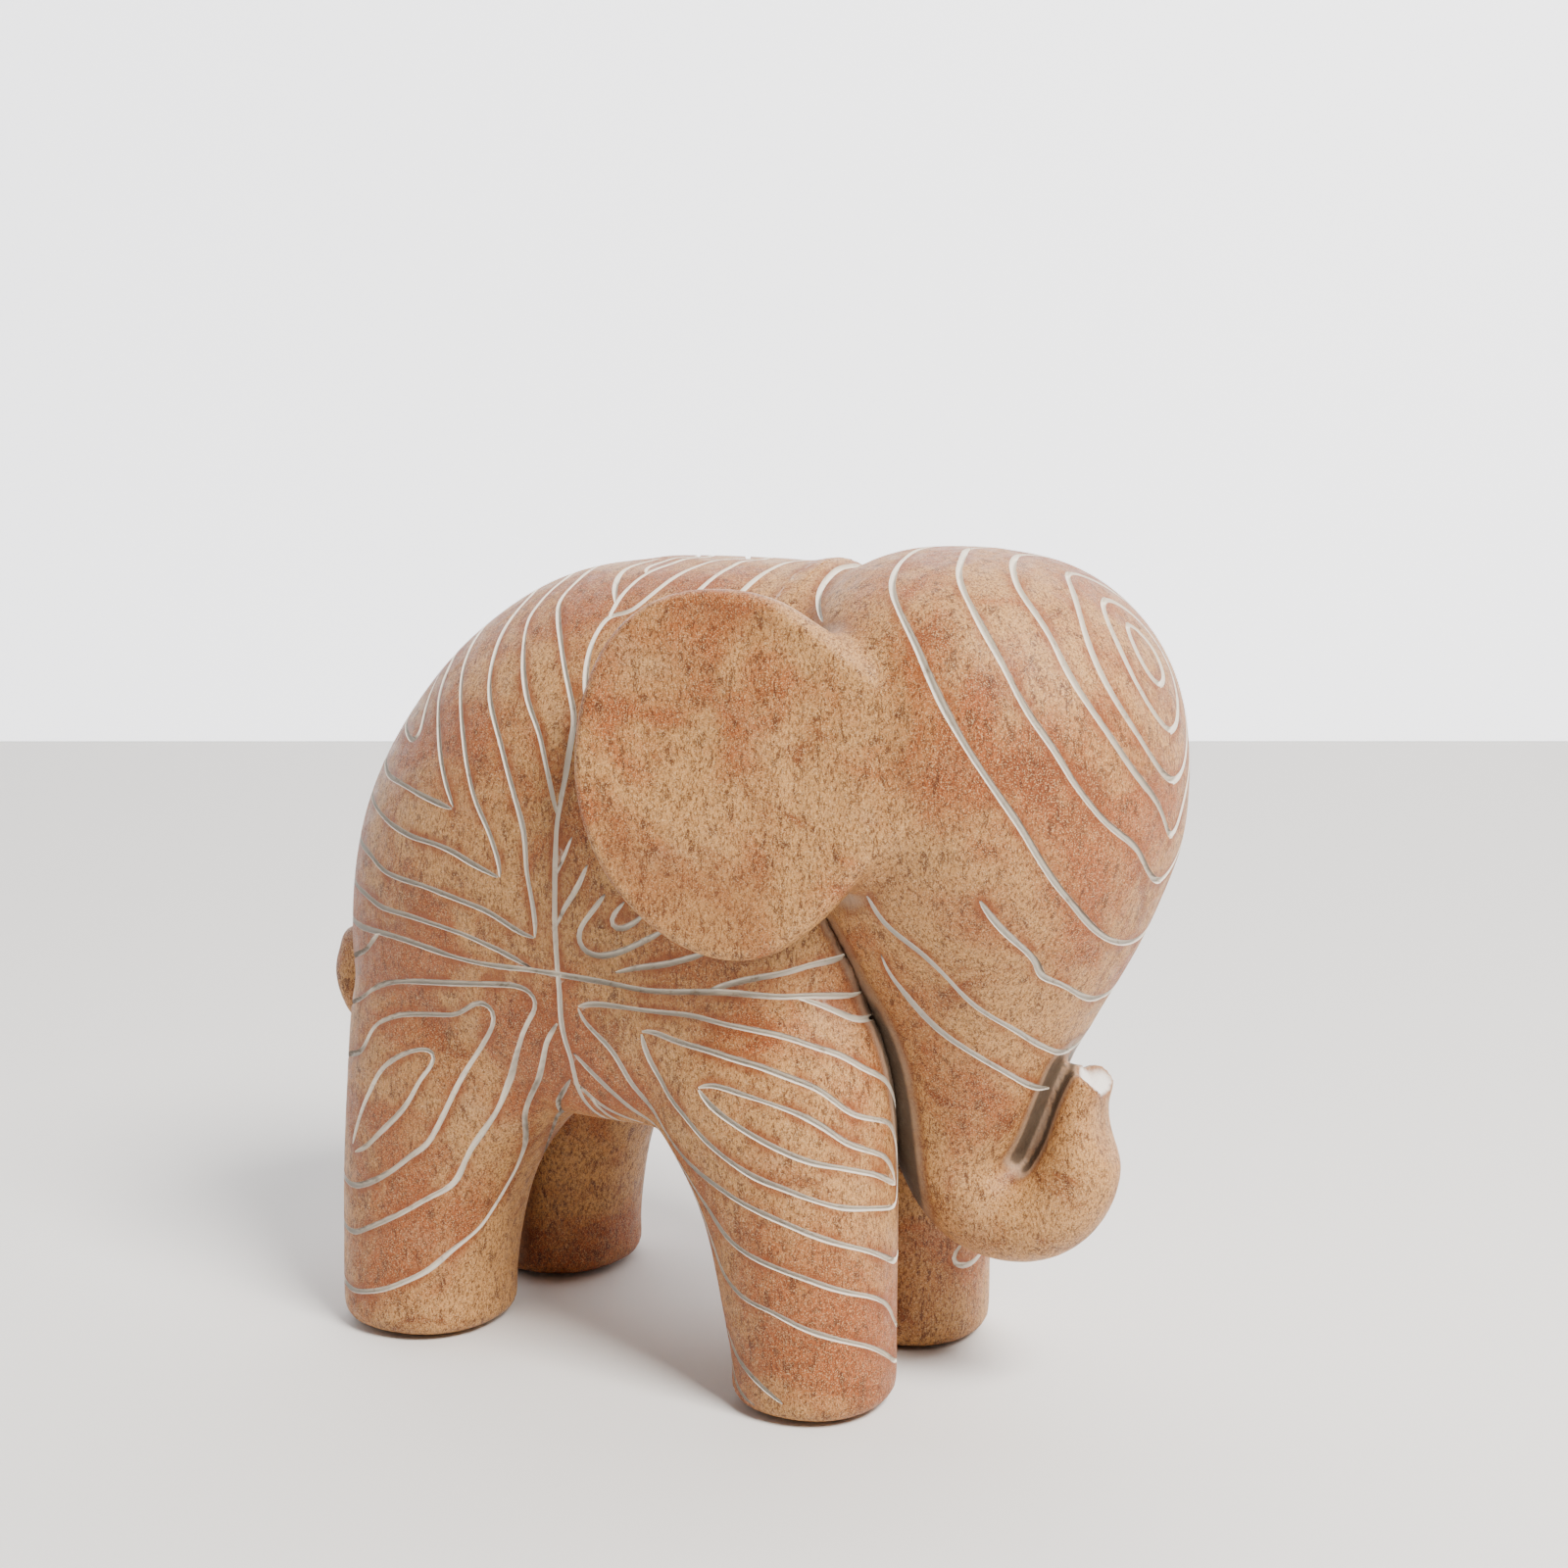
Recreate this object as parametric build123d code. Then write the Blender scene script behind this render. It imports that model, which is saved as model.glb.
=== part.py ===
from build123d import *

import os
from math import copysign, cos, pi, radians, sin

# A standing carved wooden elephant figure with a bowed head, a trunk that curls up at its end,
# two broad ears that stand off the shoulders and a short tail.
# It is made of five carved pieces: body with legs, head with trunk, two ear flaps and tail.
# Hidden dowels and glue join them, and each foot stands on a felt pad.
# +X is towards the head, +Y is the animal's left and +Z is up. Units are millimetres.

# ---- Driving dimensions ----
PAD_THICKNESS = 1.0
PAD_RADIUS_FRONT = 12.0
PAD_RADIUS_REAR = 14.0

NECK_JOINT_X = 47.0  # the sawn face where the head meets the body
NECK_SHELF_Z = 118.0  # below this the trunk hangs in front of the chest
NECK_DOWEL_RADIUS = 5.0
NECK_DOWEL_LENGTH = 40.0
NECK_DOWEL_Y = 17.0
NECK_DOWEL_Z = 152.0

EAR_THICKNESS = 8.0
EAR_EDGE_ROUNDING = 3.4
EAR_DISH_RADIUS = 210.0
EAR_DISH_DEPTH = 2.0
EAR_DISH_CENTRE = 42.0  # how far behind the cheek the dish is deepest
EAR_JOINT = 25.0  # the ear's root in front of this is carved with the head
EAR_DOWEL_RADIUS = 2.0
EAR_DOWEL_LENGTH = 18.0
EAR_DOWEL_HEIGHTS = {"upper": 17.0, "lower": -22.0}  # above the middle of the ear

TAIL_PEG_RADIUS = 2.0
TAIL_PEG_LENGTH = 18.0
TAIL_PEG_REAR = 99.0  # how far behind the origin the peg ends
TAIL_PEG_Z = 87.5

HOLE_CLEARANCE = 0.05
GLUE_ROOM = 0.8  # a blind hole is this much deeper than its dowel
NOSTRIL_RADIUS = 5.6
NOSTRIL_DEPTH = 3.6
SOLE_ROUNDING = 4.0
LEFT_HIND_STRIDE = 5.0  # the left hind foot stands this much ahead of the right one
RING_POINTS = 20
ROOM = 300.0  # the side of a block that is larger than the figure

# Squareness is the exponent of a superellipse: 2 is an ellipse and more is boxier.
HEAD_SQUARENESS = 2.1
LEG_SQUARENESS = 2.15

# Level rings of the torso, belly to back: height, rear end, front end, half width, squareness.
TORSO_RINGS = [
    (59.0, -52, 44, 22, 2.3),
    (61.5, -65, 58, 33, 2.4),
    (67.0, -74.5, 66, 41, 2.6),
    (76.0, -80, 71, 45.5, 2.7),
    (90.0, -82, 73.5, 47.8, 2.8),
    (108.0, -82, 74, 48.5, 2.7),
    (126.0, -79.5, 74, 48.5, 2.5),
    (142.0, -73, 73, 47, 2.4),
    (156.0, -64, 71, 43.5, 2.35),
    (168.0, -53.5, 67, 38.5, 2.35),
    (178.0, -41.5, 63, 32, 2.35),
    (185.5, -29, 57, 24.5, 2.3),
    (190.2, -14, 50, 16, 2.2),
    (192.5, 1, 40, 8, 2.1),
]

# Level rings of one leg, foot to shoulder or hip: height, rear, front, inner side, outer side.
REAR_LEG_RINGS = [
    (PAD_THICKNESS, -76.3, -33.3, 4.3, 47.1),
    (22.0, -76.2, -32.0, 4.2, 47.2),
    (36.0, -76.0, -28.0, 4.0, 47.4),
    (50.0, -75.7, -20.0, 3.6, 47.6),
    (64.0, -75.5, -7.0, 3.0, 47.4),
    (80.0, -75.0, 4.0, 3.0, 46.0),
    (96.0, -70.0, 4.0, 6.0, 41.0),
]
FRONT_LEG_RINGS = [
    (PAD_THICKNESS, 35.5, 74.1, 6.3, 44.9),
    (22.0, 34.5, 74.3, 6.0, 45.3),
    (36.0, 31.5, 74.5, 5.6, 46.0),
    (50.0, 26.0, 74.6, 5.0, 46.6),
    (64.0, 16.0, 74.4, 4.2, 47.0),
    (80.0, 6.0, 73.4, 4.2, 46.2),
    (96.0, 2.0, 69.0, 7.0, 41.0),
]

# Level rings of the head, crown to trunk: height, rear, front, half width.
HEAD_RINGS = [
    (196.9, 70, 88, 8),
    (194.9, 61, 98, 18),
    (190.2, 52.5, 109, 29),
    (181.8, 45.5, 119, 37.5),
    (169.5, 40.5, 126.8, 43),
    (155.0, 38, 130.3, 45),
    (140.0, 38.5, 130.6, 44.5),
    (125.0, 42, 127.6, 41),
    (110.0, 48, 121.6, 34.5),
    (95.0, 54, 113.6, 27.5),
    (80.0, 59, 106.2, 22),
    (66.0, 62.5, 100.2, 17.8),
]
# Tilted rings round the trunk's curl: x, z, angle of the curl's inner side, half depth, half width.
TRUNK_RINGS = [
    (82.0, 54.5, 16, 15.2, 15.5),
    (87.0, 47.6, 46, 13.8, 14.2),
    (95.2, 44.8, 80, 12.2, 12.8),
    (104.2, 48.2, 120, 11.2, 11.5),
    (109.7, 57.0, 158, 10.0, 10.2),
    (110.9, 65.5, 175, 8.3, 8.9),
    (111.0, 72.5, 174, 6.7, 7.5),
    (112.2, 77.2, 160, 5.9, 7.0),
    (113.8, 80.0, 150, 6.0, 7.1),
]

# Outline of an ear in its own plane: distance behind the cheek, height above the ear's middle.
EAR_OUTLINE = [
    (-8, 8),
    (8, 20),
    (20, 28),
    (31, 33.3),
    (44, 35),
    (56, 32.8),
    (66, 26),
    (73, 14),
    (75.5, 0),
    (74, -14),
    (68, -27.5),
    (57.5, -38.5),
    (45, -44.8),
    (33, -45.3),
    (22.5, -40.5),
    (12, -30.5),
    (4, -21.5),
    (-8, -12),
]
EAR_ORIGIN = (85.0, 40.5, 155.0)  # middle of the ear's root, on the left side
EAR_BACKWARDS = (-80.0, 17.0, 0.0)
EAR_UPWARDS = (0.0, -8.0, 70.0)

# Rings of the tail, root to tip: x, z, direction of travel, radius.
TAIL_RINGS = [
    (-80.0, 89.0, 183, 6.0),
    (-90.0, 88.0, 196, 5.8),
    (-97.0, 82.5, 245, 5.3),
    (-97.8, 74.0, 278, 4.6),
    (-94.5, 67.0, 308, 3.4),
]


def superellipse(half_x, half_y, squareness):
    """Points round a closed superellipse, as (x, y) pairs."""
    points = []
    for step in range(RING_POINTS):
        angle = 2 * pi * step / RING_POINTS
        c, s = cos(angle), sin(angle)
        x = half_x * copysign(abs(c) ** (2 / squareness), c)
        y = half_y * copysign(abs(s) ** (2 / squareness), s)
        points.append((x, y))
    return points


def ring(plane, half_x, half_y, squareness):
    """A closed smooth ring on a plane, centred on the plane's origin."""
    points = [plane.from_local_coords(Vector(x, y, 0)) for x, y in superellipse(half_x, half_y, squareness)]
    return Wire([Edge.make_spline(points, periodic=True)])


def level_ring(z, x_rear, x_front, y_low, y_high, squareness):
    """A ring in a level plane, between two x and two y limits."""
    centre = ((x_rear + x_front) / 2, (y_low + y_high) / 2, z)
    return ring(Plane(centre), (x_front - x_rear) / 2, (y_high - y_low) / 2, squareness)


def torso():
    return Solid.make_loft([level_ring(z, a, b, -w, w, squareness) for z, a, b, w, squareness in TORSO_RINGS])


def leg(rings, stride=0.0):
    """The animal's left leg. The stride moves its foot ahead and fades out towards the top."""
    z_top = rings[-1][0]
    sections = []
    for z, x_rear, x_front, y_in, y_out in rings:
        ahead = stride * (1 - z / z_top)
        sections.append(level_ring(z, x_rear + ahead, x_front + ahead, y_in, y_out, LEG_SQUARENESS))
    column = Solid.make_loft(sections)
    sole = column.edges().sort_by(Axis.Z)[0]
    return column.fillet(SOLE_ROUNDING, [sole])


def head_and_trunk():
    """Crown, face and trunk as one flowing form, with the scoop of the nostril in the trunk's end."""
    sections = [level_ring(z, a, b, -w, w, HEAD_SQUARENESS) for z, a, b, w in HEAD_RINGS]
    for x, z, angle, half_depth, half_width in TRUNK_RINGS:
        inner = Vector(cos(radians(angle)), 0, sin(radians(angle)))
        plane = Plane(origin=(x, 0, z), x_dir=inner, z_dir=inner.cross(Vector(0, 1, 0)))
        sections.append(ring(plane, half_depth, half_width, 2))
    x, z, angle, _, _ = TRUNK_RINGS[-1]
    out = Vector(cos(radians(angle - 90)), 0, sin(radians(angle - 90)))
    scoop = Vector(x, 0, z) + out * (NOSTRIL_RADIUS - NOSTRIL_DEPTH)
    return Solid.make_loft(sections) - Pos(scoop.X, scoop.Y, scoop.Z) * Sphere(NOSTRIL_RADIUS)


def ear_plane():
    """Local x runs back along the left ear, local y up it and local z out of its outer face."""
    back = Vector(*EAR_BACKWARDS)
    up = Vector(*EAR_UPWARDS)
    out = up.cross(back)
    return Plane(origin=EAR_ORIGIN, x_dir=back, z_dir=out)


def in_ear(x, y, z=0.0):
    """A place in the left ear: behind its root, above its middle, out of its middle plane."""
    plane = ear_plane()
    side = 1 if plane.y_dir.Z > 0 else -1
    return plane.from_local_coords(Vector(x, side * y, z))


def ear_plate():
    """The whole left ear: a plate with rounded edges and a shallow dish in its outer face."""
    out = ear_plane().z_dir
    corners = [in_ear(x, y, -EAR_THICKNESS / 2) for x, y in EAR_OUTLINE]
    outline = Wire([Edge.make_spline(corners, periodic=True)])
    plate = Solid.extrude(Face(outline), out * EAR_THICKNESS)
    plate = plate.fillet(EAR_EDGE_ROUNDING, plate.edges())
    dish = in_ear(EAR_DISH_CENTRE, 0, EAR_THICKNESS / 2 - EAR_DISH_DEPTH + EAR_DISH_RADIUS)
    return plate - Pos(dish.X, dish.Y, dish.Z) * Sphere(EAR_DISH_RADIUS)


def behind_ear_joint():
    """A block that fills the room behind the sawn face across the left ear."""
    back = ear_plane().x_dir
    middle = in_ear(EAR_JOINT, 0) + back * (ROOM / 2)
    block = Plane(origin=middle, x_dir=(0, 0, 1), z_dir=back)
    return block * Box(ROOM, ROOM, ROOM)


def tail_form():
    sections = []
    for x, z, travel, radius in TAIL_RINGS:
        along = Vector(cos(radians(travel)), 0, sin(radians(travel)))
        sections.append(ring(Plane(origin=(x, 0, z), x_dir=(0, 1, 0), z_dir=along), radius, radius, 2))
    form = Solid.make_loft(sections)
    tip = form.edges().sort_by(Axis.Z)[0]
    return form.fillet(TAIL_RINGS[-1][3] * 0.8, [tip])


def rod(start, direction, radius, length):
    """A round rod from a start point along a direction."""
    return Solid.make_cylinder(radius, length, Plane(origin=start, z_dir=direction))


def dowel_and_hole(middle, direction, radius, length):
    """A dowel with its middle on a joint face, and the longer, slightly wider hole that it sits in."""
    dowel = rod(middle - direction * (length / 2), direction, radius, length)
    depth = length + 2 * GLUE_ROOM
    hole = rod(middle - direction * (depth / 2), direction, radius + HOLE_CLEARANCE, depth)
    return dowel, hole


def mirrored(shape):
    return shape.mirror(Plane.XZ)


def carcass_and_head():
    """The body with its legs and the head with its ear roots, parted by a rebated joint at the neck."""
    trunk_form = head_and_trunk()
    neck_room = Pos(NECK_JOINT_X + ROOM / 2, 0, NECK_SHELF_Z + ROOM / 2) * Box(ROOM, ROOM, ROOM)
    below_shelf = Pos(0, 0, NECK_SHELF_Z - ROOM / 2) * Box(2 * ROOM, ROOM, ROOM)
    root = ear_plate() - behind_ear_joint()

    barrel = torso()
    body = barrel + leg(REAR_LEG_RINGS, LEFT_HIND_STRIDE) + leg(FRONT_LEG_RINGS)
    body = body + mirrored(leg(REAR_LEG_RINGS)) + mirrored(leg(FRONT_LEG_RINGS))
    body = body - neck_room - trunk_form
    head = (barrel & neck_room) + (trunk_form & neck_room) + (trunk_form & below_shelf)
    return body, head + root + mirrored(root)


def neck_dowels():
    """One dowel and its hole on each side of the neck, along the body."""
    places = {"left": NECK_DOWEL_Y, "right": -NECK_DOWEL_Y}
    along = Vector(1, 0, 0)
    return {
        f"neck_dowel_{side}": dowel_and_hole(
            Vector(NECK_JOINT_X, y, NECK_DOWEL_Z), along, NECK_DOWEL_RADIUS, NECK_DOWEL_LENGTH
        )
        for side, y in places.items()
    }


def left_ear_dowels():
    """Dowels and their holes across the sawn face of the left ear."""
    along = ear_plane().x_dir
    return {
        name: dowel_and_hole(in_ear(EAR_JOINT, height), along, EAR_DOWEL_RADIUS, EAR_DOWEL_LENGTH)
        for name, height in EAR_DOWEL_HEIGHTS.items()
    }


def tail_peg_and_hole():
    """The peg that holds the tail, and its hole, which is deeper in the body."""
    start = Vector(-TAIL_PEG_REAR, 0, TAIL_PEG_Z)
    along = Vector(1, 0, 0)
    peg = rod(start, along, TAIL_PEG_RADIUS, TAIL_PEG_LENGTH)
    return peg, rod(start, along, TAIL_PEG_RADIUS + HOLE_CLEARANCE, TAIL_PEG_LENGTH + GLUE_ROOM)


def foot_pads():
    """A felt disc under each foot."""
    feet = {
        "hind": (REAR_LEG_RINGS[0], PAD_RADIUS_REAR, LEFT_HIND_STRIDE),
        "fore": (FRONT_LEG_RINGS[0], PAD_RADIUS_FRONT, 0.0),
    }
    up = Vector(0, 0, 1)
    pads = {}
    for name, ((_, x_rear, x_front, y_in, y_out), radius, stride) in feet.items():
        x, y = (x_rear + x_front) / 2, (y_in + y_out) / 2
        pads[f"foot_pad_{name}_left"] = rod(Vector(x + stride, y, 0), up, radius, PAD_THICKNESS)
        pads[f"foot_pad_{name}_right"] = rod(Vector(x, -y, 0), up, radius, PAD_THICKNESS)
    return pads


def build():
    """All pieces by name, before they are moved so that the origin is under the middle."""
    pieces = foot_pads()
    body, head = carcass_and_head()
    for name, (dowel, hole) in neck_dowels().items():
        pieces[name] = dowel
        body, head = body - hole, head - hole

    ear = ear_plate() & behind_ear_joint()
    for name, (dowel, hole) in left_ear_dowels().items():
        pieces[f"ear_dowel_left_{name}"] = dowel
        pieces[f"ear_dowel_right_{name}"] = mirrored(dowel)
        ear, head = ear - hole, head - hole - mirrored(hole)
    pieces["ear_left"] = ear
    pieces["ear_right"] = mirrored(ear)
    pieces["head"] = head

    tail = tail_form() - body
    pieces["tail_peg"], hole = tail_peg_and_hole()
    pieces["tail"] = tail - hole
    pieces["body"] = body - hole
    return pieces


def main():
    os.makedirs("parts", exist_ok=True)
    pieces = build()
    boxes = [piece.bounding_box() for piece in pieces.values()]
    x_low = min(box.min.X for box in boxes)
    x_high = max(box.max.X for box in boxes)
    to_middle = Location((-(x_low + x_high) / 2, 0, 0))
    print("moved along x by", round(-(x_low + x_high) / 2, 3), "length", round(x_high - x_low, 2))
    for name, piece in pieces.items():
        moved = piece.solid().moved(to_middle)
        print(name, type(moved).__name__, moved.is_valid, len(moved.solids()), round(moved.volume))
        export_step(moved, f"parts/{name}.step")


if __name__ == "__main__":
    main()
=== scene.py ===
import math

import bmesh
import bpy
import numpy as np
import openvdb
from mathutils import Euler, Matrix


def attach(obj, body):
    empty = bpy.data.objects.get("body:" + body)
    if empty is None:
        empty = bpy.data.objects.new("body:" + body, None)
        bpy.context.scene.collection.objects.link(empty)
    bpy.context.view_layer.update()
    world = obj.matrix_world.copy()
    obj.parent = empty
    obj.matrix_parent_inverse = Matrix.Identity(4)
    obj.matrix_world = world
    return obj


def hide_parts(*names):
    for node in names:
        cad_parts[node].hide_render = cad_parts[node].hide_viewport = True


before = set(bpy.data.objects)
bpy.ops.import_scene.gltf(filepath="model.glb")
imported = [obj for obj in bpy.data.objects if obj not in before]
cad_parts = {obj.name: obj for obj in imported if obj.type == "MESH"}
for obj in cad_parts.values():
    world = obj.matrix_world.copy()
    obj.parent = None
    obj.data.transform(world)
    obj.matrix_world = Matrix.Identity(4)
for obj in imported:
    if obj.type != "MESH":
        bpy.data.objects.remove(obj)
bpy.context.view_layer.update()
collection = bpy.context.scene.collection
print("frame loaded")

# Everything up to the finished meshes is worked out in millimetres, on a lattice of points 1 mm apart.
low = np.array([-130, -76, -12])
count = (262, 153, 224)
reach = 22.0  # distances are right up to this far from a surface
xs = (low[0] + np.arange(count[0]))[:, None, None].astype(np.float32)
ys = (low[1] + np.arange(count[1]))[None, :, None].astype(np.float32)
zs = (low[2] + np.arange(count[2]))[None, None, :].astype(np.float32)


def meshOf(node, shift=(0, 0, 0)):
    # A CAD piece's points and triangles, with the doubled points merged.
    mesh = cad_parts[node].data
    points = np.empty(len(mesh.vertices) * 3, np.float32)
    mesh.vertices.foreach_get("co", points)
    points = points.reshape(-1, 3) * 1000
    mesh.calc_loop_triangles()
    corners = np.empty(len(mesh.loop_triangles) * 3, np.int32)
    mesh.loop_triangles.foreach_get("vertices", corners)
    merged, back = np.unique(np.round(points, 3), axis=0, return_inverse=True)
    faces = back.reshape(-1)[corners].reshape(-1, 3)
    whole = (faces[:, 0] != faces[:, 1]) & (faces[:, 1] != faces[:, 2]) & (faces[:, 0] != faces[:, 2])
    return merged.astype(np.float32) + np.array(shift, np.float32), faces[whole].astype(np.uint32)


def distanceTo(points, triangles=None, quads=None):
    # The signed distance from every lattice point to a closed surface, less than nothing inside it.
    none3, none4 = np.zeros((0, 3), np.uint32), np.zeros((0, 4), np.uint32)
    grid = openvdb.FloatGrid.createLevelSetFromPolygons(
        points.astype(np.float32), triangles=none3 if triangles is None else triangles,
        quads=none4 if quads is None else quads,
        transform=openvdb.createLinearTransform(voxelSize=1.0), halfWidth=reach)
    field = np.full(count, reach, np.float32)
    grid.copyToArray(field, ijk=tuple(int(v) for v in low))
    return field


def quadsAt(field, level=0.0, step=1.0):
    # The surface where the distance equals the level, as points and quads.
    grid = openvdb.FloatGrid(reach)
    grid.copyFromArray(np.ascontiguousarray(field, np.float32), ijk=(0, 0, 0))
    grid.transform = openvdb.createLinearTransform(voxelSize=step)
    grid.gridClass = openvdb.GridClass.LEVEL_SET
    points, quads = grid.convertToQuads(isovalue=level)
    return points + np.array(low, np.float32), quads


def sample(field, points):
    # Trilinear: each point takes its share of the eight lattice values round it.
    at = np.clip(points - low, 0.001, np.array(count) - 1.001)
    cell = at.astype(np.int32)
    f = (at - cell).astype(np.float32)
    i, j, k = cell.T
    u, v, w = f.T
    total = 0
    for a, p in ((0, 1 - u), (1, u)):
        for b, q in ((0, 1 - v), (1, v)):
            for c, r in ((0, 1 - w), (1, w)):
                total = total + p * q * r * field[i + a, j + b, k + c]
    return total


def slope(field, points, h=0.7):
    # The way in which the field grows fastest, from differences over h to each side.
    steps = np.eye(3) * h
    g = np.stack([sample(field, points + s) - sample(field, points - s) for s in steps], 1)
    return g / np.maximum(np.linalg.norm(g, axis=1, keepdims=True), 1e-6)


def blurred(field, sigma):
    # A bell curve's average along each axis in turn.
    taps = np.arange(-3, 4)
    weights = np.exp(-taps ** 2 / (2 * sigma ** 2))
    weights /= weights.sum()
    for axis in range(3):
        field = sum(w * np.roll(field, int(t), axis) for t, w in zip(taps, weights)).astype(np.float32)
    return field


def joined(a, b, k):
    # The polynomial smooth minimum: k is how far the fillet between the two reaches.
    h = np.clip(0.5 + 0.5 * (b - a) / k, 0, 1)
    return b * (1 - h) + a * h - k * h * (1 - h)


def filled(field, r):
    # The surface is grown by r and drawn back by r, which fills creases that are tighter than r.
    points, quads = quadsAt(field, r)
    return distanceTo(points, quads=quads) + r


def again(field):
    # The distance worked out afresh, after two fields have been laid together.
    points, quads = quadsAt(field)
    return distanceTo(points, quads=quads)


def apart(a, b, k):
    # The form a with b taken away, and the edge of the cut rounded over k.
    return -joined(-a, b, k)


torso = {"crotchClosing": 4.0, "softening": 0.9, "meshStep": 1.6, "lineHalfWidth": 0.64}
skull = {"creaseClosing": 2.5, "softening": 0.8, "meshStep": 1.0, "lineHalfWidth": 0.72}
neck = {"x": 33.232, "filletFoot": 158, "filletRise": 18, "filletLow": 1.0, "filletGain": 9.0}
ear = {
    "root": (71.232, 40.5, 155), "alongRoot": (-80, 17, 0), "upRoot": (0, -8, 70.0), "slide": 0.6,
    "sawnAt": 25, "blockInner": -4.7, "blockOuter": 9, "meshStep": 1.0,
    "dishRoot": (71.2, 40.5, 155), "back": (-0.978, 0.208, 0), "outward": (0.206, 0.972, 0.111),
    "rim": 2.6, "sheetHalf": 1.4, "dishFrom": 12, "fadeTo": 34, "fade": 0.1, "rounding": 2.2,
    "ballRadius": 100, "ballBack": 58, "ballUp": 6, "ballOut": 100.9,
}
curl = {
    # The slot between the trunk and its upturned end: x, z and radius of the discs along it.
    "slotRoute": [(84.6, 57.5, 1.0), (86.9, 63, 1.3), (88.9, 69, 1.5), (90.9, 75, 1.6), (93.4, 81, 1.8),
                  (96.4, 85, 1.8)],
    "slotRounding": 2.0, "webHalf": 1.4, "webMargin": 3.5, "webTop": 81.5,
    "waistX": 113.2, "waistZ": 69, "waistRadius": 11.4, "waistRounding": 3.0,
    "tipX": 100.8, "tipZ": 79.7, "slantX": 0.61, "slantZ": 0.79, "sawReach": 9,
    "ballLift": 2.4, "nostrilRadius": 5.7, "whiteRadius": 6.2,
}
tail = {
    "holeClosing": 2.4, "pegX": -111.2, "pegZ": 87.5, "fullness": 3.1, "rounding": 3.0,
    "softening": 0.6, "meshStep": 1.0,
}

bodyOnly = filled(distanceTo(*meshOf("body")), torso["crotchClosing"])
headOnly = distanceTo(*meshOf("head"))
withEars = headOnly
for side, sign in (("left", -1), ("right", 1)):
    # Each ear slides a little into its root, so that no gap shows.
    shift = ear["slide"] * np.array([80, 17 * sign, 0]) / 81.8
    withEars = np.minimum(withEars, distanceTo(*meshOf("ear_" + side, shift)))
withEars = again(withEars)
softEars = filled(withEars, skull["creaseClosing"])
mask = np.clip((zs - 112) / 8, 0, 1) * np.clip((xs - 30) / 8, 0, 1)
withEars = withEars * (1 - mask) + softEars * mask

for sign in (1, -1):
    # The ear's outline, drawn in by the rim's width and swept outward, sinks the face below a rounded rim.
    rootX, rootY, rootZ = np.array(ear["dishRoot"]) * (1, sign, 1)
    earBack = np.array(ear["back"]) * (1, sign, 1)
    outward = np.array(ear["outward"]) * (1, sign, 1)
    beyond = (xs - rootX) * earBack[0] + (ys - rootY) * earBack[1]
    above = (xs - rootX) * outward[0] + (ys - rootY) * outward[1] + (zs - rootZ) * outward[2]
    sheet = np.maximum(withEars + ear["rim"], np.abs(above) - ear["sheetHalf"])
    sheet = np.maximum(sheet, ear["dishFrom"] - beyond)
    sunk = np.minimum.reduce([np.roll(sheet, tuple(int(round(v * t)) for v in outward), (0, 1, 2))
                              for t in range(4, 10)])
    sunk = sunk + ear["fade"] * np.clip(ear["fadeTo"] - beyond, 0, 99)
    # A large ball hollows the rear half a little deeper.
    ballX, ballY, ballZ = (np.array([rootX, rootY, rootZ + ear["ballUp"]]) + ear["ballBack"] * earBack
                           + ear["ballOut"] * outward)
    ball = np.sqrt((xs - ballX) ** 2 + (ys - ballY) ** 2 + (zs - ballZ) ** 2) - ear["ballRadius"]
    withEars = apart(withEars, np.minimum(sunk, ball), ear["rounding"])

slot = np.full((count[0], 1, count[2]), 99, np.float32)
for (x0, z0, r0), (x1, z1, r1) in zip(curl["slotRoute"], curl["slotRoute"][1:]):
    t = np.clip(((xs - x0) * (x1 - x0) + (zs - z0) * (z1 - z0)) / ((x1 - x0) ** 2 + (z1 - z0) ** 2), 0, 1)
    away = np.hypot(xs - x0 - t * (x1 - x0), zs - z0 - t * (z1 - z0)) - r0 - t * (r1 - r0)
    slot = np.minimum(slot, away)
withEars = apart(withEars, slot, curl["slotRounding"])
# A thin web stays in the middle of the slot, so the slot is a deep hollow from each side.
web = np.maximum(np.maximum(np.abs(ys) - curl["webHalf"], slot - curl["webMargin"]), zs - curl["webTop"])
withEars = joined(withEars, web, 1.0)
waist = np.hypot(xs - curl["waistX"], zs - curl["waistZ"]) - curl["waistRadius"]
withEars = apart(withEars, waist, curl["waistRounding"])

# Head and body run into each other over a fillet that widens towards the top of the neck.
upNeck = np.clip((zs - neck["filletFoot"]) / neck["filletRise"], 0, 1)
fillet = neck["filletLow"] + neck["filletGain"] * upNeck
bodyForm = blurred(np.where(zs > 130, joined(bodyOnly, headOnly, fillet), bodyOnly), torso["softening"])
blended = np.minimum(joined(bodyOnly, withEars, fillet), withEars)
headForm = blurred(np.where(zs > 125, blended, withEars), skull["softening"])

# The tip is sawn off at a slant, and a ball hollows the cut into a nostril with a rim round it.
sawn = curl["slantX"] * (xs - curl["tipX"]) + curl["slantZ"] * (zs - curl["tipZ"])
nostrilAt = np.array([curl["tipX"] + curl["slantX"] * curl["ballLift"], 0,
                      curl["tipZ"] + curl["slantZ"] * curl["ballLift"]])
tipBall = np.sqrt((xs - nostrilAt[0]) ** 2 + (ys - nostrilAt[1]) ** 2 + (zs - nostrilAt[2]) ** 2)
headForm = apart(headForm, np.maximum(-sawn, tipBall - curl["sawReach"]), 0.8)
headForm = apart(headForm, tipBall - curl["nostrilRadius"], 0.7)
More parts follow.
